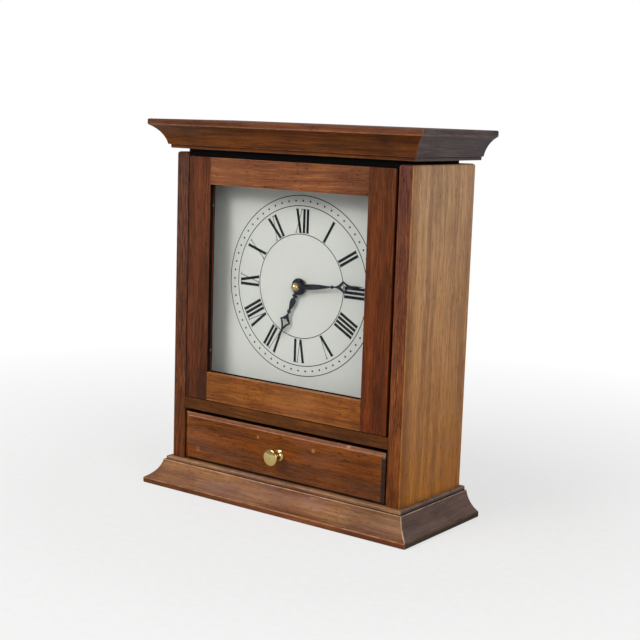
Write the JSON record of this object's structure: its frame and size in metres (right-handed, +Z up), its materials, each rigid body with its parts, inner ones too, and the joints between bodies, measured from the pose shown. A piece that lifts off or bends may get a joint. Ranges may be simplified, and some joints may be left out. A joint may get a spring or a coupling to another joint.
{
  "type": "desk clock",
  "caption": "Wooden desk clock with a square framed dial behind a hinged glazed door, a small drawer below with a brass knob, coved mouldings at base and crown, and a battery movement.",
  "frame": {"origin": "under the middle of the base, on the surface that the clock stands on", "axes": "+Z up, the dial and drawer face -Y, +X to the right of someone who looks at the dial"},
  "size_m": [0.2738, 0.1124, 0.3168],
  "materials": {
    "side_wood": "satin varnish over stained walnut, grain up the board",
    "moulding_wood": "satin varnish over stained walnut",
    "stile_wood": "satin varnish over red-brown walnut, grain up the stile",
    "rail_wood": "satin varnish over red-brown walnut, grain along the rail",
    "drawer_wood": "satin varnish over stained walnut, grain along the front",
    "shelf_wood": "satin varnish over dark stained walnut",
    "plain_wood": "unfinished pale hardwood",
    "black_wood": "matt black stain",
    "back_wood": "thin plywood with a dull brown stain",
    "dial_paint": "satin off-white with black print",
    "hand_black": "blued black, satin",
    "clear_glass": "clear, polished",
    "polished_brass": "polished and lacquered",
    "turned_brass": "turned, unpolished",
    "screw_steel": "zinc plated",
    "magnet_nickel": "nickel plated",
    "movement_plastic": "fine matt moulding texture",
    "gear_plastic": "natural acetal",
    "gasket_rubber": "matt",
    "battery_wrap": "plain glossy shrink wrap",
    "coil_copper": "enamelled copper wire",
    "circuit_green": "solder resist"
  },
  "bodies": {
    "case": {"left_side": "side_wood", "right_side": "side_wood", "base_board": "moulding_wood", "base_moulding_front": "moulding_wood", "base_moulding_left": "moulding_wood", "base_moulding_right": "moulding_wood", "crown_panel": "moulding_wood", "crown_moulding_front": "moulding_wood", "crown_moulding_left": "moulding_wood", "crown_moulding_right": "moulding_wood", "shelf": "shelf_wood", "top_cleat_left": "plain_wood", "top_cleat_right": "plain_wood", "top_board": "black_wood", "dial_board": "black_wood", "door_stop": "black_wood", "back_panel": "back_wood", "dial_plate": "dial_paint", "fixing_bush": "turned_brass", "fixing_nut": "turned_brass", "dial_washer": "turned_brass", "hinge_washer": "turned_brass", "base_screws": "screw_steel", "crown_screws": "screw_steel", "back_panel_screws": "screw_steel", "hinge_pins": "screw_steel", "motor_stator": "screw_steel", "battery_contacts": "screw_steel", "catch_magnet": "magnet_nickel", "quartz_crystal": "magnet_nickel", "movement_case": "movement_plastic", "movement_cover": "movement_plastic", "drive_unit": "gear_plastic", "rubber_gasket": "gasket_rubber", "battery": "battery_wrap", "motor_coil": "coil_copper", "circuit_board": "circuit_green"},
    "door": {"left_stile": "stile_wood", "right_stile": "stile_wood", "top_rail": "rail_wood", "bottom_rail": "rail_wood", "glass": "clear_glass", "glazing_pins": "screw_steel", "catch_strike": "screw_steel"},
    "drawer": {"drawer_front": "drawer_wood", "drawer_side_left": "plain_wood", "drawer_side_right": "plain_wood", "drawer_bottom": "plain_wood", "drawer_back": "plain_wood", "drawer_knob": "polished_brass", "knob_screw": "screw_steel"},
    "minute_train": {"centre_arbor": "turned_brass", "minute_hand": "hand_black", "cap_nut": "polished_brass"},
    "hour_train": {"hour_wheel": "gear_plastic", "hour_hand": "hand_black"},
    "minute_wheel_body": {"minute_wheel": "gear_plastic"},
    "third_wheel_body": {"third_wheel": "gear_plastic"},
    "setting_body": {"setting_knob": "gear_plastic"}
  },
  "joints": [
    {"name": "door_hinge", "type": "hinge", "parent": "case", "child": "door", "pos_m": [-0.1025, -0.0354, 0.1832], "axis": [0, 0, -1], "range_deg": [0, 100]},
    {"name": "drawer_slide", "type": "slide", "parent": "case", "child": "drawer", "axis": [0, -1, 0], "range_m": [0, 0.06]},
    {"name": "minute_turn", "type": "hinge", "parent": "case", "child": "minute_train", "pos_m": [0, -0.02, 0.1845], "axis": [0, 1, 0], "continuous": true},
    {"name": "hour_turn", "type": "hinge", "parent": "case", "child": "hour_train", "pos_m": [0, -0.02, 0.1845], "axis": [0, 1, 0], "continuous": true},
    {"name": "minute_wheel_turn", "type": "hinge", "parent": "case", "child": "minute_wheel_body", "pos_m": [-0.00866, -0.02, 0.1895], "axis": [0, 1, 0], "continuous": true},
    {"name": "third_wheel_turn", "type": "hinge", "parent": "case", "child": "third_wheel_body", "pos_m": [0.00935, -0.02, 0.1899], "axis": [0, 1, 0], "continuous": true},
    {"name": "setting_turn", "type": "hinge", "parent": "case", "child": "setting_body", "pos_m": [-0.01775, -0.02, 0.19475], "axis": [0, 1, 0], "continuous": true}
  ],
  "couplings": [
    {"joint": "hour_turn", "follows": "minute_turn", "ratio": 0.083333},
    {"joint": "minute_wheel_turn", "follows": "minute_turn", "ratio": -0.33333},
    {"joint": "third_wheel_turn", "follows": "minute_turn", "ratio": -8},
    {"joint": "setting_turn", "follows": "minute_turn", "ratio": 0.83333}
  ]
}
